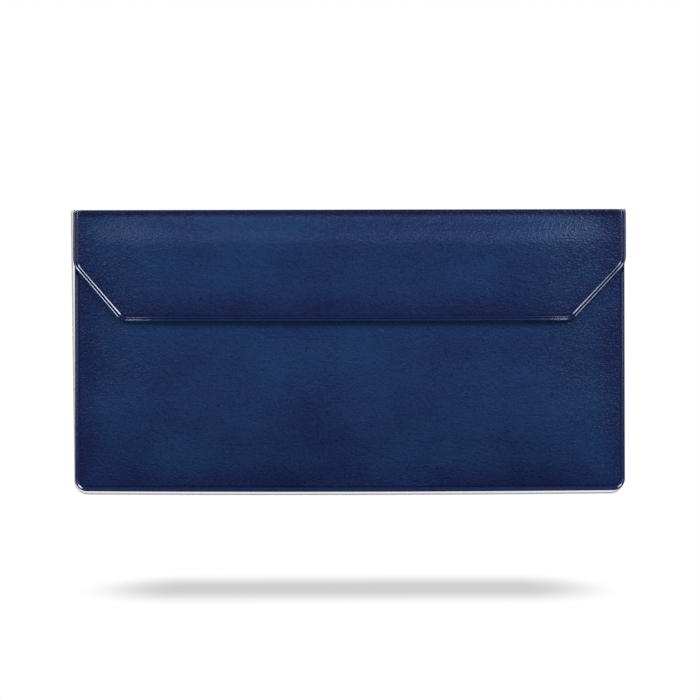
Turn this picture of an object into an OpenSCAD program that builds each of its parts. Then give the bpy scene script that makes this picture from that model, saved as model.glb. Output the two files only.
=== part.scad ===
// Flap wallet for carrying cheques, notes and slips to a bank. The cover is leather-grain vinyl
// with a smooth lining, welded round its edge, and one clear film forms a pocket on the back.
// X runs to the right, the front faces -Y, Z is up, and the origin is under the middle.

/* [Cover] */
// Width of the pocket, over its welded edges
cover_w = 234.5; // [200:0.5:260]
// Height of the cover, from its welded bottom edge to the top of the fold
cover_h = 120.4; // [105:0.1:140]
// Radius of the two bottom corners
corner_r = 5; // [3:0.5:10]
// Thickness of the leather-grain vinyl
skin_t = 0.5; // [0.4:0.05:0.7]
// Thickness of the lining
lining_t = 0.25; // [0.2:0.05:0.35]

/* [Pocket] */
// Clear depth in the middle of the pocket, between the linings
pocket_depth = 5; // [4.5:0.1:8]
// Width of the band in which the front rises from each side weld
side_rise_w = 36; // [25:1:50]
// Height of the band in which the front rises from the bottom weld
bottom_rise_h = 30; // [20:1:40]
// Depth of the mouth below the top of the fold
mouth_drop = 17; // [15:0.5:20]
// Height of the welded hem along the mouth
hem_h = 2; // [1.5:0.1:3]

/* [Edge weld] */
// Width of the welded edge
weld_w = 2; // [1.5:0.1:3]
// How far welds and hems stand out from the vinyl beside them
weld_proud = 0.25; // [0.1:0.05:0.4]

/* [Flap] */
// Width of the flap
flap_w = 235.5; // [201:0.5:261]
// Depth of the flap below the top of the fold
flap_h = 47.6; // [42:0.1:56]
// Width of the cut corner on the left
left_cut_w = 20.4; // [15:0.1:26]
// Height of the cut corner on the left
left_cut_h = 23.8; // [18:0.1:26]
// Width of the cut corner on the right
right_cut_w = 23; // [15:0.1:26]
// Height of the cut corner on the right
right_cut_h = 24.4; // [18:0.1:26]
// Radius where the flap's side meets its cut corner
shoulder_r = 8; // [4:0.5:12]
// Radius where the cut corner meets the flap's lower edge
toe_r = 6; // [3:0.5:10]
// Width of the flap's welded rim
rim_w = 1.9; // [1.5:0.1:3]
// Radius inside the fold
fold_inner_r = 0.45; // [0.3:0.05:0.8]

/* [Closure] */
// Width of the hook and loop pads
pad_w = 60; // [30:1:100]
// Height of the hook and loop pads
pad_h = 16; // [10:1:18]
// Thickness of each pad
pad_t = 0.55; // [0.4:0.05:0.7]
// Gap left between the mated pads
pad_gap = 0.1; // [0.05:0.01:0.2]

/* [Rear film] */
// Thickness of the clear film
film_t = 0.3; // [0.2:0.05:0.4]
// Gap between the film and the back panel
film_gap = 0.15; // [0.1:0.05:0.3]
// How far the film shows below the welded bottom edge
film_drop = 1.4; // [0.5:0.1:3]
// How far the film shows past the left edge at the top
film_left_top = 1.75; // [1.2:0.05:3]
// How far the film shows past the left edge at the bottom
film_left_bottom = 0.35; // [0.1:0.05:3]
// How far the film's right edge stays inside the cover
film_right_in = 0.4; // [0:0.1:2]
// Radius of the thumb notch in the film's top edge
notch_r = 9; // [6:0.5:11]

/* [Hidden] */

navy = [0.11, 0.19, 0.34];
weld_navy = [0.10, 0.13, 0.28];
lining_navy = [0.13, 0.20, 0.33];
pad_navy = [0.06, 0.09, 0.18];
film_clear = [0.90, 0.92, 0.95, 0.45];

// Clearance between the linings along the welds, and past every cutting solid
slack = 0.1;
past = 2;
arc_steps = 8;

// Heights
cover_bottom_z = film_drop;
top_z = film_drop + cover_h;
sheet_t = skin_t + lining_t;
fold_r = fold_inner_r + sheet_t;
fold_z = top_z - fold_r;
mouth_z = top_z - mouth_drop;
flap_bottom_z = top_z - flap_h;
pad_z = (mouth_z + flap_bottom_z) / 2 - 1;

// Depths, from the back forwards
flap_gap_middle = 2 * pad_t + pad_gap;
flap_gap_side = weld_proud + 0.3;
depth = film_t + film_gap + 2 * sheet_t + slack + pocket_depth + flap_gap_middle + sheet_t
    + weld_proud;
film_back_y = depth / 2;
back_y = film_back_y - film_t - film_gap;
back_inner_y = back_y - sheet_t;
front_edge_y = back_inner_y - slack - sheet_t;
fold_y = back_y - fold_r;
fold_front_y = fold_y - fold_r;

// Share of the full bulge at a place, 0 on a weld and 1 where the front is flat
function rise(u) = min(max(u, 0), 1);
function side_rise(x) = rise((cover_w / 2 - abs(x)) / side_rise_w);
function bottom_rise(z) = rise((z - cover_bottom_z) / bottom_rise_h);
front_y = function(x, z) front_edge_y - pocket_depth * side_rise(x) * bottom_rise(z);

// The flap hangs parallel to the front below the mouth, and slopes back to the fold above it
bend_share = 0.5;
slope_gain = 1 / (1 - bend_share / 2);
function slope_share(u) =
    u <= 0 ? 0 : slope_gain * (u < bend_share ? u * u / (2 * bend_share) : u - bend_share / 2);
function flap_hang_y(x) =
    front_edge_y - flap_gap_side - sheet_t
    - (pocket_depth + flap_gap_middle - flap_gap_side) * side_rise(x);
flap_y = function(x, z)
    let (share = slope_share((z - mouth_z) / (fold_z - mouth_z)))
    flap_hang_y(x) * (1 - share) + fold_front_y * share;

// A face moved back by d, away from the viewer in front
function behind(face, d) = function(x, z) face(x, z) + d;

// Places at which the curved sheets have their rows and columns
rise_steps = 6;
function columns(half_w) = let (
    flat_half = cover_w / 2 - side_rise_w,
    stops = [for (k = [0:rise_steps - 1]) flat_half + k * side_rise_w / rise_steps]
) [
    -half_w, for (k = [rise_steps - 1:-1:0]) -stops[k],
    for (k = [0:rise_steps - 1]) stops[k], half_w,
];
pocket_rows = [
    for (k = [0:rise_steps]) cover_bottom_z + k * bottom_rise_h / rise_steps, mouth_z + past,
];
bend_steps = 4;
flap_rows = [
    flap_bottom_z - past,
    for (k = [0:bend_steps]) mouth_z + k * bend_share * (fold_z - mouth_z) / bend_steps,
    fold_z,
];

// Outline points, given as x and z
function unit(v) = v / norm(v);
function round_vertex(a, b, c, r) = let (
    u = unit(a - b), v = unit(c - b), half = acos(u * v) / 2,
    start = b + u * r / tan(half), end = b + v * r / tan(half),
    centre = b + unit(u + v) * r / sin(half), turn = 180 - 2 * half
) r <= 0 ? [b] : [
    for (i = [0:arc_steps]) let (t = i / arc_steps)
        centre + (sin((1 - t) * turn) * (start - centre) + sin(t * turn) * (end - centre))
            / sin(turn)
];
function rounded(points, radii) = let (n = len(points)) [
    for (i = [0:n - 1])
        each round_vertex(points[(i + n - 1) % n], points[i], points[(i + 1) % n], radii[i])
];

// The pocket's outline, moved in from its edge by inset, with square top corners at z = top
function pocket_outline(inset, top) = let (half = cover_w / 2 - inset, r = corner_r - inset)
    rounded(
        [[-half, cover_bottom_z + inset], [half, cover_bottom_z + inset], [half, top], [-half, top]],
        [r, r, 0, 0]
    );

// The flap's outline, moved in by inset and reaching up to z = top
function flap_outline(inset, top) = let (
    half = flap_w / 2 - inset, low = flap_bottom_z + inset,
    left_angle = atan(left_cut_h / left_cut_w), right_angle = atan(right_cut_h / right_cut_w),
    left_shoulder = low - inset + left_cut_h - inset * tan((90 - left_angle) / 2),
    right_shoulder = low - inset + right_cut_h - inset * tan((90 - right_angle) / 2),
    left_toe = half + inset - left_cut_w - inset * tan(left_angle / 2),
    right_toe = half + inset - right_cut_w - inset * tan(right_angle / 2)
) rounded(
    [
        [-left_toe, low], [right_toe, low], [half, right_shoulder], [half, top],
        [-half, top], [-half, left_shoulder],
    ],
    [toe_r - inset, toe_r - inset, shoulder_r - inset, 0, 0, shoulder_r - inset]
);

// A solid with the given outline, running through the whole depth
module through(points) {
    rotate([90, 0, 0]) linear_extrude(height = 2 * depth, center = true) polygon(points);
}

// A curved sheet between a front and a rear face, with one column per x and one row per z
module sheet(xs, zs, front, rear) {
    n = len(xs);
    m = len(zs);
    back = n * m;
    points = [for (face = [front, rear]) for (z = zs) for (x = xs) [x, face(x, z), z]];
    cells = [for (j = [0:m - 2]) for (i = [0:n - 2]) j * n + i];
    faces = [
        for (a = cells) each [[a, a + n, a + n + 1], [a, a + n + 1, a + 1]],
        for (a = cells) each
            [[back + a, back + a + n + 1, back + a + n], [back + a, back + a + 1, back + a + n + 1]],
        for (i = [0:n - 2]) [i, i + 1, back + i + 1, back + i],
        for (i = [back - n:back - 2]) [i + 1, i, back + i, back + i + 1],
        for (j = [0:m - 2]) let (a = j * n) [a + n, a, back + a, back + a + n],
        for (j = [0:m - 2]) let (a = j * n + n - 1) [a, a + n, back + a + n, back + a],
    ];
    polyhedron(points, faces);
}

// A flat sheet from z_low upwards inside the welds, t thick, with its rear face at y
module flat_sheet(y, t, half_w, z_high) {
    translate([0, y, 0]) rotate([90, 0, 0]) linear_extrude(height = t)
        polygon(rounded(
            [
                [-half_w, cover_bottom_z + weld_w], [half_w, cover_bottom_z + weld_w],
                [half_w, z_high], [-half_w, z_high],
            ],
            [corner_r - weld_w, corner_r - weld_w, 0, 0]
        ));
}

// Pocket

module back_panel() {
    color(navy) flat_sheet(back_y, skin_t, cover_w / 2 - weld_w, fold_z);
}

module back_lining() {
    color(lining_navy)
        flat_sheet(back_y - skin_t, lining_t, cover_w / 2 - weld_w, fold_z);
}

module pocket_front_sheet(front, rear) {
    intersection() {
        sheet(columns(cover_w / 2), pocket_rows, front, rear);
        through(pocket_outline(weld_w, mouth_z - hem_h));
    }
}

module front_panel() {
    color(navy) pocket_front_sheet(front_y, behind(front_y, skin_t));
}

module front_lining() {
    color(lining_navy)
        pocket_front_sheet(behind(front_y, skin_t), behind(front_y, sheet_t));
}

module mouth_hem() {
    half = cover_w / 2 - weld_w;
    color(weld_navy) intersection() {
        sheet(
            columns(cover_w / 2), [mouth_z - hem_h, mouth_z],
            behind(front_y, -weld_proud), behind(front_y, sheet_t)
        );
        translate([-half, -depth, mouth_z - hem_h - past])
            cube([2 * half, 2 * depth, hem_h + 2 * past]);
    }
}

// The weld's section is a flat band with its front edges cut back, wound round the pocket
weld_back_y = back_y + film_gap;
weld_front_y = front_edge_y - weld_proud;
weld_bevel = 0.45;
weld_section = [
    [0, weld_back_y], [weld_w, weld_back_y], [weld_w, weld_front_y + weld_bevel],
    [weld_w - weld_bevel, weld_front_y], [weld_bevel, weld_front_y],
    [0, weld_front_y + 2 * weld_bevel],
];

module weld_run(length) {
    linear_extrude(height = length) polygon(weld_section);
}

module weld_corner() {
    rotate_extrude(angle = 90, $fn = 64)
        polygon([for (p = weld_section) [corner_r - p[0], p[1]]]);
}

module edge_weld() {
    half = cover_w / 2;
    corner_z = cover_bottom_z + corner_r;
    color(weld_navy) union() {
        // Sides of the pocket, up to the mouth
        for (s = [0, 1]) mirror([s, 0, 0]) {
            translate([-half, 0, corner_z]) weld_run(mouth_z - corner_z);
            // Thin edge of the back panel above the mouth
            translate([-half, back_inner_y, mouth_z])
                cube([weld_w, weld_back_y - back_inner_y, fold_z - mouth_z]);
            // Bottom corners
            translate([-half + corner_r, 0, corner_z]) mirror([1, 0, 0]) mirror([0, 0, 1])
                rotate([90, 0, 0]) mirror([0, 0, 1]) weld_corner();
        }
        // Bottom
        translate([-half + corner_r, 0, cover_bottom_z])
            rotate([0, 90, 0]) mirror([1, 0, 0]) weld_run(cover_w - 2 * corner_r);
    }
}

module rear_film() {
    half = cover_w / 2;
    left_top = -half - film_left_top;
    left_bottom = -half - film_left_bottom;
    right = half - film_right_in;
    ear_right = -flap_w / 2 - 0.3;
    film_top = fold_z - 0.8;
    film_r = corner_r + film_drop / 2;
    color(film_clear) translate([0, film_back_y, 0]) rotate([90, 0, 0])
        linear_extrude(height = film_t) difference() {
            polygon(rounded(
                [
                    [left_bottom, 0], [right, 0], [right, film_top], [ear_right, film_top],
                    [ear_right, top_z], [left_top, top_z],
                ],
                [film_r, film_r, 0, 0, 0, 0]
            ));
            translate([0, film_top]) circle(r = notch_r, $fn = 96);
        }
}

// Fold and flap

module flap_fold() {
    color(navy) translate([-flap_w / 2, fold_y, fold_z]) rotate([90, 0, 90])
        linear_extrude(height = flap_w) difference() {
            circle(r = fold_r, $fn = 64);
            circle(r = fold_inner_r, $fn = 64);
            translate([-2 * fold_r, -4 * fold_r]) square(4 * fold_r);
        }
}

module flap_sheet(inset, front, rear) {
    intersection() {
        sheet(columns(flap_w / 2), flap_rows, front, rear);
        through(flap_outline(inset, fold_z + past));
    }
}

module flap_panel() {
    color(navy) flap_sheet(rim_w, flap_y, behind(flap_y, skin_t));
}

module flap_lining() {
    color(lining_navy) flap_sheet(rim_w, behind(flap_y, skin_t), behind(flap_y, sheet_t));
}

module flap_rim() {
    color(weld_navy) difference() {
        flap_sheet(0, behind(flap_y, -weld_proud), behind(flap_y, sheet_t));
        through(flap_outline(rim_w, fold_z + past));
    }
}

// Closure

module pad(y) {
    translate([-pad_w / 2, y, pad_z - pad_h / 2]) cube([pad_w, pad_t, pad_h]);
}

module loop_pad() {
    color(pad_navy) pad(front_edge_y - pocket_depth - pad_t);
}

module hook_pad() {
    color(pad_navy) pad(front_edge_y - pocket_depth - flap_gap_middle);
}

back_panel();
back_lining();
front_panel();
front_lining();
mouth_hem();
edge_weld();
rear_film();
flap_fold();
flap_panel();
flap_lining();
flap_rim();
hook_pad();
loop_pad();
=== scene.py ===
"""Flap wallet for carrying cheques, notes and slips to a bank: leather-grain vinyl, welded."""

import math

import bpy
import numpy as np
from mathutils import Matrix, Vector, noise


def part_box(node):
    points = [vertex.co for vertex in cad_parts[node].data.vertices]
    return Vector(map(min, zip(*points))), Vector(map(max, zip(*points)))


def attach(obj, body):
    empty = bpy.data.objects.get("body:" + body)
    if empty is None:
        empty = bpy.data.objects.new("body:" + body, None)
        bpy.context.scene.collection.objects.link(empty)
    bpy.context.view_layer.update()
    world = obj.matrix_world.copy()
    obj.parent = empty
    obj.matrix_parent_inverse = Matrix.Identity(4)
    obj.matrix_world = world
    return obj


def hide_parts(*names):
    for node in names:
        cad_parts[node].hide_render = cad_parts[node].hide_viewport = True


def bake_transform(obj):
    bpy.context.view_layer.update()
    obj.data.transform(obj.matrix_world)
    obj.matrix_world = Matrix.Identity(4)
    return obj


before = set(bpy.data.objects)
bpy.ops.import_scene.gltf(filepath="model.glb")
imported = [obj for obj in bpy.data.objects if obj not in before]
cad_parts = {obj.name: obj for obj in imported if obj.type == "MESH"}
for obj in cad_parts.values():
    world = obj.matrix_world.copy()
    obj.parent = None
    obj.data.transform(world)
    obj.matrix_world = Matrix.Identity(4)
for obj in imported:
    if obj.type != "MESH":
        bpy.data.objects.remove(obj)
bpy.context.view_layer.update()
mm = 0.001


# ---------------------------------------------------------------------------------------------
# Studio. The wallet hangs just above a white sweep, seen square on through a long lens. Two
# high softboxes draw bright lines along the slanted welds, low strips light the upright ones,
# and weak fills soften the rest. The sweep glows evenly but for a soft shadow under the wallet.

view_distance = 1.3
view_width = 297.9 * mm
view_height = 61.9 * mm
view_side = 0.1 * mm
camera_roll = math.radians(-0.12)
shadow_drop = 39.5 * mm
shadow_half_length, shadow_end, shadow_depth = 70 * mm, 48 * mm, 90 * mm
middle = (0, 0, 60 * mm)
cool, cooler = (0.93, 0.96, 1), (0.8, 0.88, 1)
scene = bpy.context.scene
scene.view_settings.view_transform = "Standard"


def aim(thing, target):
    """Turn a light or the camera so that it looks at a point."""
    way = Vector(target) - thing.location
    thing.rotation_euler = way.to_track_quat("-Z", "Y").to_euler()


lens = bpy.data.cameras.new("camera")
lens.sensor_width = 36
lens.lens = lens.sensor_width * view_distance / view_width
camera = bpy.data.objects.new("camera", lens)
camera.location = (view_side, -view_distance, view_height)
aim(camera, (view_side, 0, view_height))
camera.rotation_euler.rotate_axis("Z", camera_roll)
scene.collection.objects.link(camera)
scene.camera = camera


def softbox(name, place, size, power, tint=(1, 1, 1)):
    """A rectangular area light that faces the wallet, and that the camera doesn't see."""
    box = bpy.data.lights.new(name, "AREA")
    box.shape = "RECTANGLE"
    box.size, box.size_y = size
    box.energy = power
    box.color = tint
    lamp = bpy.data.objects.new(name, box)
    lamp.location = place
    aim(lamp, middle)
    lamp.visible_camera = False
    scene.collection.objects.link(lamp)
    return lamp


for name, side, power in (("left", -1, 15.5), ("right", 1, 25)):
    softbox(name + "_softbox", (side * 0.86, -0.87, 1.09), (0.7, 0.7), power, cool)
    softbox(name + "_strip", (side * 1.3, -1.0, 0.32), (0.3, 0.6), 1.6, cool)
    softbox(name + "_back_fill", (side * 1.1, 1.3, 0.8), (1, 1), 11, cooler)
top_fill = softbox("top_fill", (0, -0.9, 1.2), (1.2, 0.9), 0.6)
top_fill.visible_glossy = False
front_fill = softbox("front_fill", (0, -1.45, -0.35), (1.2, 1.2), 10)
front_fill.visible_glossy = False

# The room looks white to the camera, and lights the wallet as a dim cool wall would.
room = bpy.data.worlds.new("room")
room.use_nodes = True
scene.world = room
room_nodes = room.node_tree.nodes
room_links = room.node_tree.links
seen = room_nodes.new("ShaderNodeLightPath")
white_wall = room_nodes.new("ShaderNodeBackground")
white_wall.inputs["Color"].default_value = (1, 1, 1, 1)
dim_wall = room_nodes.new("ShaderNodeBackground")
dim_wall.inputs["Color"].default_value = (0.6, 0.76, 1, 1)
dim_wall.inputs["Strength"].default_value = 0.15
wall = room_nodes.new("ShaderNodeMixShader")
room_links.new(seen.outputs["Is Camera Ray"], wall.inputs[0])
room_links.new(dim_wall.outputs[0], wall.inputs[1])
room_links.new(white_wall.outputs[0], wall.inputs[2])
room_links.new(wall.outputs[0], room_nodes["World Output"].inputs["Surface"])


class Value:
    """A socket of a node tree, on which Python's operators add Math nodes."""

    def __init__(self, shader, socket):
        self.shader, self.socket = shader, socket

    def math(self, operation, other=None):
        values = {0: self} if other is None else {0: self, 1: other}
        return self.shader.node("ShaderNodeMath", {"operation": operation}, values)

    def __add__(self, other):
        return self.math("ADD", other)

    def __mul__(self, other):
        return self.math("MULTIPLY", other)

    def __sub__(self, other):
        return self.math("SUBTRACT", other)

    def __rsub__(self, other):
        return self.shader.node(
            "ShaderNodeMath", {"operation": "SUBTRACT"}, {0: other, 1: self}
        )

    __radd__, __rmul__ = __add__, __mul__


class Shader:
    """A material of one Principled shader, and the few calls that build what feeds it."""

    def __init__(self, name, **fixed):
        self.material = bpy.data.materials.new(name)
        self.material.use_nodes = True
        self.tree = self.material.node_tree
        self.surface = self.tree.nodes["Principled BSDF"]
        for socket, value in fixed.items():
            self.surface.inputs[socket.replace("_", " ")].default_value = value

    def node(self, kind, settings=None, values=None, out=0):
        """One node's output, its settings made first and its sockets then set or linked."""
        made = self.tree.nodes.new(kind)
        for name, value in (settings or {}).items():
            if name == "stops":
                stops = made.color_ramp.elements
                for _ in value[2:]:
                    stops.new(1)
                for index, (place, colour) in enumerate(value):
                    stops[index].position, stops[index].color = place, colour
            else:
                setattr(made, name, value)
        for key, value in (values or {}).items():
            self.feed(made.inputs[key], value)
        return Value(self, made.outputs[out])

    def feed(self, socket, value):
        """Link a value to a socket, or set the socket to a plain number, colour or vector."""
        if isinstance(value, Value):
            self.tree.links.new(value.socket, socket)
        else:
            socket.default_value = value

    def drive(self, name, value):
        """Let value feed a socket of the surface itself."""
        self.feed(self.surface.inputs[name], value)

    def cut(self, scale):
        """The place on the flat cut sheet, in metres, times scale in each direction."""
        place = self.node("ShaderNodeAttribute", {"attribute_name": "cut"}, out=1)
        return self.node(
            "ShaderNodeVectorMath", {"operation": "MULTIPLY"}, {0: place, 1: scale}
        )

    def shift(self, where, colour, amount):
        """The place moved by amount times a noise's colour."""
        moved = self.node(
            "ShaderNodeVectorMath", {"operation": "SCALE"}, {0: colour, "Scale": amount}
        )
        return self.node("ShaderNodeVectorMath", {"operation": "ADD"}, {0: where, 1: moved})

    def valley(self, value, width):
        """0 along the lines where value is a half, 1 away from them."""
        return self.ramp((value - 0.5).math("ABSOLUTE"), 0, width)

    def noise(self, where, detail=3, roughness=0.55, distortion=0.0, out=0):
        return self.node(
            "ShaderNodeTexNoise",
            None,
            {
                "Vector": where,
                "Scale": 1,
                "Detail": detail,
                "Roughness": roughness,
                "Distortion": distortion,
            },
            out,
        )

    def axis(self, vector, name):
        """One component of a vector."""
        return self.node("ShaderNodeSeparateXYZ", None, {0: vector}, out="XYZ".index(name))

    def ramp(self, value, low, high):
        """Smoothly 0 to 1 as value goes from low to high."""
        return self.node(
            "ShaderNodeMapRange",
            {"interpolation_type": "SMOOTHSTEP"},
            {"Value": value, "From Min": low, "From Max": high},
        )

    def blend(self, share, dark, light):
        """A colour from dark, where share is 0, to light, where it is 1."""
        return self.node(
            "ShaderNodeMix",
            {"data_type": "RGBA"},
            {0: share, 6: dark, 7: light},
            out=2,
        )

    def bump(self, height, depth, strength=1.0):
        """Raise the surface's normals by a height of up to depth metres."""
        relief = self.node(
            "ShaderNodeBump",
            None,
            {"Height": height, "Distance": depth, "Strength": strength},
        )
        self.drive("Normal", relief)


bpy.ops.mesh.primitive_plane_add(size=12, location=(0, 0, -shadow_drop))
floor = bpy.context.object
floor.name = "floor"
floor.visible_diffuse = False
floor.visible_glossy = False
floor.visible_shadow = False

sweep = Shader("sweep", Base_Color=(0, 0, 0, 1), Specular_IOR_Level=0, Emission_Strength=1)
# Painted shadow: the sweep's glow is darkened to grey in a soft ellipse under the wallet.
spot = sweep.node("ShaderNodeNewGeometry", out="Position")
beyond = sweep.axis(spot, "X").math("ABSOLUTE") - shadow_half_length
along = beyond.math("MAXIMUM", 0) * (1 / shadow_end)
across = sweep.axis(spot, "Y") * (1 / shadow_depth)
shade = sweep.ramp((along * along + across * across).math("SQRT"), 1, 0.1)
sweep.drive("Emission Color", sweep.blend(shade, (1, 1, 1, 1), (0.63, 0.63, 0.63, 1)))
floor.data.materials.append(sweep.material)


# ---------------------------------------------------------------------------------------------
# Cover. One sheet of leather-grain vinyl makes the back, turns over the fold and comes down in
# front as the flap, whose lower corners are cut away. The fold is heat-set into a tight roll.

back_low, back_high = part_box("back_panel")
lining_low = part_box("back_lining")[0]
fold_low, fold_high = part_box("flap_fold")
front_low, front_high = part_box("front_panel")
flap_low, flap_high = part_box("flap_panel")
rim_low, rim_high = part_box("flap_rim")
weld_low, weld_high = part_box("edge_weld")
hem_low, hem_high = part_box("mouth_hem")

skin = back_high.y - back_low.y
sheet = back_high.y - lining_low.y
fold_y = (fold_low.y + fold_high.y) / 2
fold_z = fold_low.z
fold_radius = fold_high.z - fold_low.z
fold_length = math.pi * fold_radius
mouth_z = hem_high.z
pocket_half = weld_high.x
flap_half = rim_high.x
weld_width = pocket_half - back_high.x
rim_width = flap_half - flap_high.x
weld_proud = 0.25 * mm
front_edge_y = weld_low.y + weld_proud
front_flat_y = front_low.y
flap_flat_y = flap_low.y
flap_clearance = 0.3 * mm
flap_side_y = front_edge_y - weld_proud - flap_clearance - sheet
side_rise_width = 36 * mm
bottom_rise_height = 30 * mm
corner_radius = 5 * mm
corner_sag = 0.5 * mm
flap_slope_power = 1.3
flap_trim = 0.3 * mm
past_fold_z = fold_z + 5 * mm
calm_at_fold, calm_at_edge = 12 * mm, 6 * mm
row_step, fine_step = 1.4 * mm, 0.25 * mm


def rise(share):
    """Share of the full bulge: 0 at a weld, 1 where the front is flat, with a soft turn."""
    soft = 0.3
    turning = 1 - (1 + soft - share) ** 2 / (4 * soft)
    return np.where(share < 1 - soft, np.maximum(share, 0), np.where(share < 1 + soft, turning, 1))


def side_rise(x):
    """Share of the full bulge at a distance from the side welds."""
    inside = pocket_half - weld_width - np.abs(x)
    return rise(inside / (side_rise_width - weld_width))


def front_face_y(x, z):
    """The pocket's grained front: a low pillow that rises from its three welds."""
    inside = z - weld_low.z - weld_width
    bulge = side_rise(x) * rise(inside / (bottom_rise_height - weld_width))
    return front_edge_y + (front_flat_y - front_edge_y) * bulge


def flap_face_y(x, z):
    """The flap hangs parallel to the front, and slopes back to the fold above the mouth."""
    share = np.clip((z - mouth_z) / (fold_z - mouth_z), 0, 1) ** flap_slope_power
    share = share**2 * (3 - 2 * share)
    hang_y = flap_side_y + (flap_flat_y - flap_side_y) * side_rise(x)
    return hang_y * (1 - share) + (fold_y - fold_radius) * share


def sag(x, z):
    """How far the soft lower corners ride up, against the middle of the bottom."""
    return corner_sag * (x / pocket_half) ** 2 * np.clip(1 - z / fold_z, 0, 1)


def cover_point(x, run, height):
    """A place on the cover. run is 0 where the back meets the fold and grows towards the
    flap's lower edge; height is outwards from the grained face."""
    x, run, height = np.broadcast_arrays(x, run, height)
    turn = np.clip(run / fold_length, 0, 1) * math.pi
    radius = fold_radius + height
    below = fold_z + np.minimum(run, 0) - np.maximum(run - fold_length, 0)
    on_flap = run > fold_length
    y = np.where(on_flap, flap_face_y(x, below) - height, fold_y + radius * np.cos(turn))
    z = below + radius * np.sin(turn)
    return np.stack([x, y, z + sag(x, z)], axis=-1)


def front_point(x, z, height):
    """A place on the pocket's front, height being forwards from the grained face."""
    x, z, height = np.broadcast_arrays(x, z, height)
    return np.stack([x, front_face_y(x, z) - height, z + sag(x, z)], axis=-1)


def rounded(corners, radii):
    """The outline through the corners, each rounded by its radius."""
    step = 0.3 * mm
    line = []
    for i, (here, radius) in enumerate(zip(corners, radii)):
        here = np.array(here)
        before, after = np.array(corners[i - 1]), np.array(corners[(i + 1) % len(corners)])
        if radius <= 0:
            line.append(here)
            continue
        u = (before - here) / np.linalg.norm(before - here)
        v = (after - here) / np.linalg.norm(after - here)
        half = math.acos(float(u @ v)) / 2
        start, end = here + u * radius / math.tan(half), here + v * radius / math.tan(half)
        centre = here + (u + v) / np.linalg.norm(u + v) * radius / math.sin(half)
        turn = math.pi - 2 * half
        steps = max(4, int(turn * radius / step))
        for share in np.linspace(0, 1, steps + 1):
            a, b = math.sin((1 - share) * turn), math.sin(share * turn)
            line.append(centre + (a * (start - centre) + b * (end - centre)) / math.sin(turn))
    return np.array(line)


cut_left, cut_right = (20.4 * mm, 23.8 * mm), (23.0 * mm, 24.4 * mm)
shoulder_radius, toe_radius = 8 * mm, 6 * mm


def flap_outline(inset, top):
    """The flap's outline as x and z, moved in from its edge."""
    half, low = flap_half - inset, rim_low.z + inset
    corners = []
    for side, (width, height) in ((-1, cut_left), (1, cut_right)):
        angle = math.atan2(height, width)
        toe = flap_half - width - inset * math.tan(angle / 2)
        shoulder = rim_low.z + height - inset * math.tan((math.pi / 2 - angle) / 2)
        corners.append([(side * half, top), (side * half, shoulder), (side * toe, low)])
    corners = corners[0] + corners[1][::-1]
    radii = [0, shoulder_radius - inset, toe_radius - inset]
    return rounded(corners, radii + radii[::-1])


def pocket_outline(inset, top):
    """The pocket's outline as x and z, moved in from its edge and open at the top."""
    half, low = pocket_half - inset, weld_low.z + inset
    corners = [(-half, top), (-half, low), (half, low), (half, top)]
    radius = corner_radius - inset
    return rounded(corners, [0, radius, radius, 0])


def sides(outline, heights):
    """The outline's left and right x at each height."""
    found = []
    for side in (outline[outline[:, 0] < 0], outline[outline[:, 0] > 0]):
        order = np.argsort(side[:, 1], kind="stable")
        found.append(np.interp(heights, side[order, 1], side[order, 0]))
    return found


def stations(low, high, step, fine, count=6):
    """Places from low to high, step apart, with count closer ones from each end."""
    ends = fine * np.arange(count)
    inner = np.arange(low + fine * count, high - fine * count, step)
    return np.concatenate([low + ends, inner, high - ends[::-1]])


def new_mesh(name, points, faces, cut):
    """A mesh object with smooth faces, and each point's place on the flat cut sheet."""
    mesh = bpy.data.meshes.new(name)
    mesh.from_pydata([tuple(p) for p in points], [], faces)
    attribute = mesh.attributes.new("cut", "FLOAT_VECTOR", "POINT")
    attribute.data.foreach_set("vector", np.asarray(cut, np.float32).ravel())
    mesh.shade_smooth()
    mesh.validate()
    made = bpy.data.objects.new(name, mesh)
    scene.collection.objects.link(made)
    return made


def sheet_faces(rows, columns, flip=False):
    """The faces of a closed sheet whose outer points, row by row, come before its inner ones.
    flip turns them over, for a sheet whose rows run the other way as seen from outside."""
    back = rows * columns
    index = np.arange(back).reshape(rows, columns)
    a, b = index[:-1, :-1].ravel(), index[:-1, 1:].ravel()
    c, d = index[1:, 1:].ravel(), index[1:, :-1].ravel()
    edge = np.concatenate([index[0, :], index[1:, -1], index[-1, -2::-1], index[-2:0:-1, 0]])
    after = np.roll(edge, -1)
    faces = list(zip(a, b, c, d)) + list(zip(a + back, d + back, c + back, b + back))
    faces += list(zip(edge, edge + back, after + back, after))
    faces = [tuple(int(i) for i in face) for face in faces]
    return [(face[0], *face[:0:-1]) for face in faces] if flip else faces


def sheet_piece(name, point, rows, left, right, outer, inner, columns=170, grain_shift=0.0):
    """A closed sheet. Each row runs from left to right; outer and inner are its two faces'
    heights above the grained face, as numbers or functions of x and the row's place. The cut
    attribute keeps x, the row's place and the distance from the nearest weld."""
    share = stations(0, 1, 1 / columns, 0.3 / columns, 4)
    x = left[:, None] + (right - left)[:, None] * share[None, :]
    run = np.repeat(rows[:, None], len(share), axis=1)
    points = []
    for face in (outer, inner):
        height = face(x, run) if callable(face) else np.full_like(x, face)
        points.append(point(x, run, height).reshape(-1, 3))
    from_side = np.minimum(x - left[:, None], right[:, None] - x)
    from_weld = np.minimum(from_side, np.minimum(run - rows[0], rows[-1] - run))
    flat = np.stack([x, run + grain_shift, from_weld], axis=-1).reshape(-1, 3)
    cut = np.concatenate([flat, flat])
    return new_mesh(name, np.concatenate(points), sheet_faces(*x.shape), cut)


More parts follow.
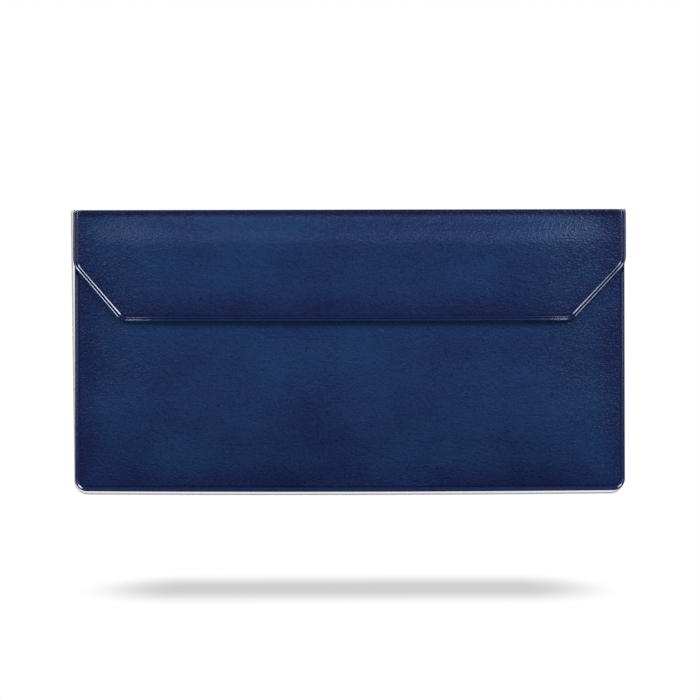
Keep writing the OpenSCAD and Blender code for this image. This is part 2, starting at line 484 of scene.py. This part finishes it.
def swell(x, run, seed=0.0):
    """The slow unevenness of a soft sheet."""
    size, depth = 26 * mm, 0.09 * mm
    places = zip((x / size).ravel(), (run / size).ravel())
    values = [noise.noise(Vector((a, b * 1.3, seed))) for a, b in places]
    return depth * np.array(values).reshape(x.shape)


def shoulder(distance):
    """How far the grained face dips where it meets a weld."""
    drop, width = 0.16 * mm, 0.45 * mm
    return -drop * np.exp(-((distance / width) ** 2))


leather = Shader(
    "leathergrain_vinyl", IOR=1.5, Specular_IOR_Level=0.2, Specular_Tint=(0.75, 0.88, 1, 1)
)
stretch = leather.noise(leather.cut((17, 24, 0)), detail=1, out=1)
wobble = leather.noise(leather.cut((400, 640, 0)), detail=2, out=1)
pebbles = leather.node(
    "ShaderNodeTexVoronoi",
    {"feature": "SMOOTH_F1"},
    {"Vector": leather.shift(leather.cut((1100, 1500, 0)), wobble, 1.1), "Scale": 1,
     "Smoothness": 0.7},
)
wrinkles = leather.noise(leather.shift(leather.cut((560, 900, 0)), stretch, 26), 2, 0.5, 0.2)
creases = leather.valley(
    leather.noise(leather.shift(leather.cut((150, 270, 0)), stretch, 8), 3, 0.55, 0.4), 0.14
)
folds = leather.valley(leather.noise(leather.cut((40, 62, 0)), 4, 0.6, 0.4), 0.05)
patches = leather.noise(leather.cut((20, 26, 0)), detail=3, roughness=0.6)
relief = wrinkles * 0.5 - pebbles * 0.75 + creases * 0.18 + folds * 0.16
leather.bump(relief, 0.24 * mm)
place = leather.cut((1, 1, 1))
# Painted shade: the grained face is darkened in a band along the top of the fold, where it turns
# away from the light.
off_fold = (leather.axis(place, "Y") - 2.6 * mm).math("ABSOLUTE")
fold_shade = leather.ramp(off_fold, 3.6 * mm, 1.6 * mm)
# Painted shade: the grained face is also darkened towards each welded edge, within 14 mm of it.
weld_shade = leather.ramp(leather.axis(place, "Z"), 14 * mm, 0)
tone = (wrinkles * 0.7 - pebbles) * 0.45 + patches * 0.65 + 0.21
tone = tone - fold_shade * 0.45 - weld_shade * 0.22
leather.drive(
    "Base Color",
    leather.node(
        "ShaderNodeValToRGB",
        {"stops": [
            (0.0, (0.0030, 0.0042, 0.026, 1)),
            (0.3, (0.0044, 0.0100, 0.049, 1)),
            (0.62, (0.0054, 0.0246, 0.078, 1)),
        ]},
        {0: tone},
    ),
)
leather.drive("Roughness", 0.34 + patches * 0.1)

flap_end = fold_length + fold_z - (rim_low.z + rim_width)
back_start = back_low.z - fold_z
cover_rows = np.concatenate([
    stations(back_start, 0, row_step, fine_step),
    np.linspace(0, fold_length, 15)[1:-1],
    stations(fold_length, flap_end, row_step, fine_step),
])
cover_heights = fold_z + np.minimum(cover_rows, 0) - np.maximum(cover_rows - fold_length, 0)
back_left, back_right = sides(pocket_outline(weld_width, past_fold_z), cover_heights)
flap_left, flap_right = sides(flap_outline(rim_width + flap_trim, past_fold_z), cover_heights)
over = np.clip(cover_rows / fold_length, 0, 1)
cover_left = back_left * (1 - over) + flap_left * over
cover_right = back_right * (1 - over) + flap_right * over


def cover_relief(x, run):
    """The grained face's swell, which fades out at the fold and dips at the welds."""
    left = np.interp(run, cover_rows, cover_left)
    right = np.interp(run, cover_rows, cover_right)
    from_side = np.minimum(x - left, right - x)
    from_end = np.minimum(run - back_start, flap_end - run)
    inside = np.minimum(from_side, from_end)
    calm = np.clip(np.abs(run - fold_length / 2) / calm_at_fold, 0, 1)
    return swell(x, run) * calm * np.clip(inside / calm_at_edge, 0, 1) + shoulder(inside)


cover = sheet_piece(
    "cover_sheet", cover_point, cover_rows, cover_left, cover_right, cover_relief, -skin
)
cover.data.materials.append(leather.material)
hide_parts("back_panel", "flap_fold", "flap_panel")


def bend_with_flap(piece, run):
    """Bake the piece's placement into its points. The piece is not bent or moved."""
    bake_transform(piece)


def run_of(piece):
    """Each point's place along the sheet, from the cut attribute."""
    values = np.empty(3 * len(piece.data.vertices), np.float32)
    piece.data.attributes["cut"].data.foreach_get("vector", values)
    return values[1::3]


bend_with_flap(cover, run_of(cover))
cut_length = flap_end - back_start + weld_width + rim_width
corner_cuts = sum(width * height / 2 for width, height in (cut_left, cut_right))
cut_size, cut_area = (2 * flap_half, cut_length), 2 * flap_half * cut_length - corner_cuts


# ---------------------------------------------------------------------------------------------
# Linings. A thin smooth vinyl film lies behind each grained sheet and is welded in with it: one
# behind the cover, from the back over the fold into the flap, and one behind the front.

lining_film = Shader("lining_vinyl", Roughness=0.42)
ripple = lining_film.noise(lining_film.cut((60, 90, 0)), detail=2)
matte = lining_film.noise(lining_film.cut((2200, 2200, 0)), detail=2)
lining_film.bump(ripple + matte * 0.08, 0.35 * mm, 0.5)
lining_film.drive(
    "Base Color",
    lining_film.blend(ripple, (0.010, 0.021, 0.058, 1), (0.017, 0.034, 0.088, 1)),
)

cover_lining = sheet_piece(
    "cover_lining", cover_point, cover_rows, cover_left, cover_right, -skin, -sheet, 80
)
cover_lining.data.materials.append(lining_film.material)
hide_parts("back_lining", "flap_lining")
bend_with_flap(cover_lining, run_of(cover_lining))

front_rows = stations(front_low.z, hem_low.z, row_step, fine_step)
front_left, front_right = sides(pocket_outline(weld_width, fold_z), front_rows)

front_lining = sheet_piece(
    "front_lining_sheet", front_point, front_rows, front_left, front_right, -skin, -sheet, 80
)
front_lining.data.materials.append(lining_film.material)
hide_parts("front_lining")
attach(front_lining, "pocket")


# ---------------------------------------------------------------------------------------------
# Pocket front. The second sheet of the same leather-grain vinyl, welded to the back down both
# sides and along the bottom, and standing off it in a low pillow.

def front_relief(x, z):
    """The pocket front's swell, which fades out at the welds and dips along them."""
    left = np.interp(z, front_rows, front_left)
    right = np.interp(z, front_rows, front_right)
    inside = np.minimum(np.minimum(x - left, right - x), z - front_low.z)
    calm = np.clip(np.minimum(inside, hem_low.z - z) / calm_at_edge, 0, 1)
    return swell(x, z, seed=7.3) * calm + shoulder(inside)


pocket_front = sheet_piece(
    "pocket_front", front_point, front_rows, front_left, front_right, front_relief, -skin,
    grain_shift=0.3,
)
pocket_front.data.materials.append(leather.material)
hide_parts("front_panel")
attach(pocket_front, "pocket")


# ---------------------------------------------------------------------------------------------
# Welds. The bar of the welding press melts the edges of the sheets together and leaves smooth
# glossy rolls of vinyl: one round the pocket, a double one round the flap, one at the mouth.

melt = Shader(
    "welded_vinyl", Roughness=0.2, Specular_Tint=(0.8, 0.88, 1, 1), Coat_Weight=0.7,
    Coat_Roughness=0.12, Coat_Tint=(0.9, 0.93, 1, 1),
)
flow = melt.noise(melt.cut((160, 160, 0)), detail=3)
melt.bump(flow, 0.05 * mm, 0.5)
melt.drive(
    "Base Color",
    melt.blend(flow, (0.0042, 0.0065, 0.038, 1), (0.0052, 0.0130, 0.056, 1)),
)


def even(line, step):
    """The same line with a point every step or so, keeping its own points."""
    out = [line[0]]
    for a, b in zip(line[:-1], line[1:]):
        pieces = max(1, round(float(np.linalg.norm(b - a)) / step))
        out += [a + (b - a) * k / pieces for k in range(1, pieces + 1)]
    return np.array(out)


def inward(line):
    """At each point of a line, the unit direction to its left-hand side."""
    way = np.gradient(line, axis=0)
    way /= np.linalg.norm(way, axis=1)[:, None]
    return np.stack([-way[:, 1], way[:, 0]], axis=1)


def tube_faces(count, around):
    """The faces of a tube of count rings with around points in each, closed at both ends."""
    index = np.arange(count * around).reshape(count, around)
    after = np.roll(index, -1, axis=1)
    corners = (index[:-1], after[:-1], after[1:], index[1:])
    faces = list(zip(*(corner.ravel() for corner in corners)))
    faces += [tuple(index[0, ::-1]), tuple(index[-1])]
    return [tuple(int(i) for i in face) for face in faces]


def weld_piece(name, point, line, normals, section, proud=1.0):
    """A roll of melted vinyl. The section, distances in from the edge and heights above the
    grained face in millimetres, is drawn along the line. proud scales what stands above that
    face, as one number or one for each point of the line."""
    section = np.array(section) * mm
    x = line[:, None, 0] + normals[:, None, 0] * section[None, :, 0]
    run = line[:, None, 1] + normals[:, None, 1] * section[None, :, 0]
    height = np.repeat(section[None, :, 1], len(line), axis=0)
    height = np.where(height > 0, height * np.reshape(proud, (-1, 1)), height)
    points = point(x, run, height).reshape(-1, 3)
    along = np.concatenate([[0], np.cumsum(np.linalg.norm(np.diff(line, axis=0), axis=1))])
    cut = [(a, s, h) for a in along for s, h in section]
    made = new_mesh(name, points, tube_faces(len(line), len(section)), cut)
    made.data.materials.append(melt.material)
    return made


weld_step = 1.5 * mm
weld_depth = (weld_high.y - front_edge_y) / mm
edge_section = [
    (0.10, -weld_depth), (0.0, -weld_depth + 0.2), (0.0, -0.4), (0.04, -0.12), (0.13, 0.1),
    (0.26, 0.21), (0.42, 0.25), (0.56, 0.22), (0.7, 0.14), (0.86, 0.03), (1.04, -0.09),
    (1.2, -0.18), (1.36, -0.23), (1.6, -0.25), (1.9, -0.25), (2.15, -0.25), (2.2, -0.35),
    (2.2, -weld_depth + 0.1), (2.1, -weld_depth),
]
edge_line = even(pocket_outline(0, mouth_z), weld_step)
edge_weld = weld_piece("edge_weld_roll", front_point, edge_line, inward(edge_line), edge_section)
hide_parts("edge_weld")
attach(edge_weld, "pocket")

rim_section = [
    (0.12, -0.76), (0.0, -0.6), (-0.02, -0.34), (-0.02, -0.12), (0.04, 0.03), (0.12, 0.1),
    (0.22, 0.12), (0.32, 0.08), (0.5, -0.05), (0.66, -0.16), (0.76, -0.2), (0.88, -0.22),
    (1.02, -0.2), (1.12, -0.1), (1.2, 0.05), (1.29, 0.16), (1.38, 0.2), (1.48, 0.17),
    (1.6, 0.09), (1.8, -0.05), (2.0, -0.19), (2.12, -0.26), (2.22, -0.3), (2.34, -0.32),
    (2.38, -0.42), (2.36, -0.62), (2.2, -0.76),
]
# The rim's line goes up the back, over the fold and down one side of the flap, along its lower
# edge, and back the same way on the other side.
down_flap = flap_outline(0, fold_z)
down_flap = np.stack([down_flap[:, 0], fold_length + fold_z - down_flap[:, 1]], axis=1)
over_fold = np.linspace(0, 1, 13)[:-1]
bend = np.stack([pocket_half + (flap_half - pocket_half) * over_fold, fold_length * over_fold], 1)
up_back = np.array([[pocket_half, mouth_z - fold_z]])
mirrored = np.array([-1, 1])
rim_line = np.concatenate(
    [up_back * mirrored, bend * mirrored, down_flap, bend[::-1], up_back]
)
rim_line = even(rim_line, weld_step)
past_fold = (rim_line[:, 1] - fold_length) / (4 * mm)
rim = weld_piece(
    "flap_rim_roll", cover_point, rim_line, -inward(rim_line), rim_section,
    np.clip(0.3 + past_fold, 0.3, 1),
)
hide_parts("flap_rim")
bend_with_flap(rim, np.repeat(rim_line[:, 1], len(rim_section)))

hem_section = [
    (0.1, -sheet / mm), (0.0, -0.55), (0.0, -0.15), (0.1, 0.08), (0.3, 0.18), (0.55, 0.17),
    (0.75, 0.05), (0.9, -0.03), (1.1, -0.05), (1.3, 0.02), (1.45, 0.1), (1.65, 0.13),
    (1.85, 0.07), (2.0, -0.05), (2.1, -0.3), (2.1, -0.6), (2.0, -sheet / mm),
]
mouth_line = even(np.array([[front_high.x, mouth_z], [front_low.x, mouth_z]]), weld_step)
hem = weld_piece("mouth_hem_roll", front_point, mouth_line, inward(mouth_line), hem_section)
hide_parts("mouth_hem")
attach(hem, "pocket")


# ---------------------------------------------------------------------------------------------
# Rear film. One clear soft film is welded over the back as a second pocket. It was cut a little
# large and laid a little low and to the left, so that its edge shows past the cover.

clear = Shader("clear_film", Roughness=0.09, Specular_IOR_Level=1, Coat_Weight=1)
haze = clear.noise(clear.cut((26, 34, 0)), detail=2)
clear.bump(haze, 1.2 * mm, 0.5)
from_rim = clear.axis(clear.cut((1, 1, 1)), "Z")
rim_share = clear.ramp(from_rim, 0.8 * mm, 0.25 * mm)
seal_share = clear.ramp(from_rim, 3.2 * mm, 2.6 * mm)
clear.drive(
    "Base Color",
    clear.blend(rim_share, (0.16, 0.18, 0.22, 1), (0.46, 0.48, 0.52, 1)),
)
clear.drive("Alpha", 0.06 + seal_share * 0.05 + rim_share * 0.46)

film_low, film_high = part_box("rear_film")
film_left = -pocket_half - 0.35 * mm
film_right = film_high.x
film_top = fold_z - 0.8 * mm
film_corner = 5.7 * mm
notch_radius = 9 * mm
ear_right = -flap_half - 0.3 * mm
ear_step = (0.84 * mm, 0.90 * mm)
lean_width = 20 * mm
film_width = film_right - film_left
# Points stand closer at the round corners, at the ear's step and round the thumb notch.
round_corner = film_corner * (1 - np.cos(np.linspace(0, math.pi / 2, 9)[:-1]))
film_across = np.unique(np.concatenate([
    round_corner,
    np.linspace(film_corner, film_width - film_corner, 120),
    film_width - round_corner[::-1],
    ear_step,
    np.linspace(-notch_radius, notch_radius, 41) - film_left,
]))
film_x = film_left + film_across
from_side = np.minimum(film_across, film_right - film_x)
film_bottom = film_corner - np.sqrt(
    np.maximum(film_corner**2 - (film_corner - np.minimum(from_side, film_corner)) ** 2, 0)
)
# The top has the notch in its middle, and an ear at the far left that rises beside the fold.
notch = np.sqrt(np.maximum(notch_radius**2 - film_x**2, 0))
film_up = stations(0, 1, 0.02, 0.004)
film_lean = (film_low.x - film_left) * np.clip(1 - film_across / lean_width, 0, 1)
film_edge = np.where(film_x + film_lean < ear_right, film_high.z, film_top - notch)
film_z = film_bottom[None, :] * (1 - film_up[:, None]) + film_edge[None, :] * film_up[:, None]
film_leaning = film_x[None, :] + film_lean[None, :] * film_z / film_high.z
film_place = np.stack(
    [film_leaning, np.full_like(film_z, film_high.y), film_z + sag(film_leaning, film_z)], -1
)
outer = film_place.reshape(-1, 3)
inner = outer - np.array([0, film_high.y - film_low.y, 0])
from_edge = np.minimum(from_side[None, :], film_z - film_bottom[None, :])
from_edge = np.minimum(from_edge, film_edge[None, :] - film_z)
film_cut = np.stack([film_leaning, film_z, from_edge], axis=-1).reshape(-1, 3)
film = new_mesh(
    "rear_film_sheet", np.concatenate([outer, inner]),
    sheet_faces(*film_z.shape, flip=True), np.concatenate([film_cut, film_cut]),
)
film.data.materials.append(clear.material)
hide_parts("rear_film")
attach(film, "pocket")


# ---------------------------------------------------------------------------------------------
# Closure. A strip of moulded hook tape under the flap grips a strip of woven loop tape on the
# pocket's front. Both are welded on round a pressed border, so no stitches show outside.

tape_corner, tape_border, border_slope = 1.5 * mm, 1.1 * mm, 0.4 * mm
knurl_depth, knurl_size = 0.03 * mm, 0.25 * mm
pile_margin = 1.7 * mm
hair = 1e-6


def tape_piece(node, facing, shader):
    """The tape itself. facing is 1 where its pile points to the back and -1 to the front."""
    low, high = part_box(node)
    root_y = low.y if facing > 0 else high.y
    corners = [(low.x, low.z), (high.x, low.z), (high.x, high.z), (low.x, high.z)]
    outline = rounded(corners, [tape_corner] * 4)
    rows = stations(low.z + hair, high.z - hair, 0.4 * mm, 0.1 * mm, 5)
    left, right = sides(np.vstack([outline, outline[:1]]), rows)

    def place(x, z, height):
        return np.stack([x, root_y + facing * height, z], axis=-1)

    def thickness(x, z):
        border = np.minimum(high.x - np.abs(x), np.minimum(z - low.z, high.z - z))
        knurl = knurl_depth * np.sin(x / knurl_size) * np.sin(z / knurl_size)
        inside = np.clip((border - tape_border) / border_slope, 0, 1)
        return 0.1 * mm + 0.1 * mm * inside + knurl * (1 - inside)

    tape = sheet_piece(node + "_tape", place, rows, left, right, thickness, -0.04 * mm, 150)
    tape.data.materials.append(shader.material)
    return tape, low, high, root_y


def strand(path, radius):
    """The points of a thin four-sided thread along a path."""
    way = np.gradient(path, axis=0)
    way /= np.linalg.norm(way, axis=1)[:, None]
    side = np.cross(way, (0.3, 0.2, 1))
    side /= np.linalg.norm(side, axis=1)[:, None]
    up = np.cross(way, side)
    ring = np.stack([side, up, -side, -up], axis=1) * radius
    return (path[:, None, :] + ring).reshape(-1, 3)


def pile_piece(name, box, root_y, facing, shader, pitch, radius, path):
    """Rows of threads, each along its own path in millimetres from its foot, y outwards."""
    low, high = box
    points, faces, count = [], [], 0
    for row, z in enumerate(np.arange(low.z + pile_margin, high.z - pile_margin, pitch[1])):
        start_x = low.x + pile_margin + (row % 2) * pitch[0] / 2
        for x in np.arange(start_x, high.x - pile_margin, pitch[0]):
            turn = np.array(path(row, noise.noise(Vector((x, z, 3.1)) * 2000)))
            foot = np.array([x, root_y, z])
            points.append(strand(foot + turn * mm * (1, facing, 1), radius))
            faces += [tuple(i + count for i in face) for face in tube_faces(len(turn), 4)]
            count += len(points[-1])
    pile = new_mesh(name, np.concatenate(points), faces, np.concatenate(points))
    pile.data.materials.append(shader.material)
    return pile


def hook(row, chance):
    """A stem that leaves the tape and bends over, one row to the left and the next to the right."""
    lean = (1 if row % 2 else -1) * (1 + 0.1 * chance)
    return [(0, 0.15, 0), (0, 0.36, 0), (0.07 * lean, 0.46, 0), (0.19 * lean, 0.48, 0),
            (0.27 * lean, 0.40, 0), (0.28 * lean, 0.32, 0)]


def loop(row, chance):
    """A thread that leaves the tape, turns over and comes back down a little way off."""
    angle = math.pi * 3 * chance + row
    dx, dz = math.cos(angle), math.sin(angle)
    reach, top = 0.26 + 0.1 * chance, 0.46 + 0.06 * chance
    arc = [(1 - math.cos(t), math.sin(t)) for t in np.linspace(0, math.pi, 8)]
    return [(reach * a * dx, 0.12 + (top - 0.12) * b, reach * a * dz) for a, b in arc]


def nylon(name, low, high):
    """Navy nylon: a slightly shiny weave, lighter on its threads."""
    made = Shader(name, Roughness=0.5, Sheen_Weight=0.25, Sheen_Roughness=0.4)
    weave = made.noise(made.cut((2600, 2600, 2600)), detail=2)
    made.bump(weave, 0.08 * mm, 0.6)
    made.drive("Base Color", made.blend(weave, low, high))
    return made


hook_nylon = nylon("hook_tape", (0.006, 0.009, 0.024, 1), (0.016, 0.024, 0.060, 1))
loop_nylon = nylon("loop_tape", (0.007, 0.012, 0.036, 1), (0.022, 0.036, 0.090, 1))
for node, body, facing, shader, pitch, radius, path in (
    ("hook_pad", "flap", 1, hook_nylon, (1.0 * mm, 0.9 * mm), 0.055 * mm, hook),
    ("loop_pad", "pocket", -1, loop_nylon, (0.72 * mm, 0.66 * mm), 0.04 * mm, loop),
):
    tape, low, high, root_y = tape_piece(node, facing, shader)
    pile = pile_piece(
        node + "_pile", (low, high), root_y, facing, shader, pitch, radius, path
    )
    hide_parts(node)
    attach(tape, body)
    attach(pile, body)
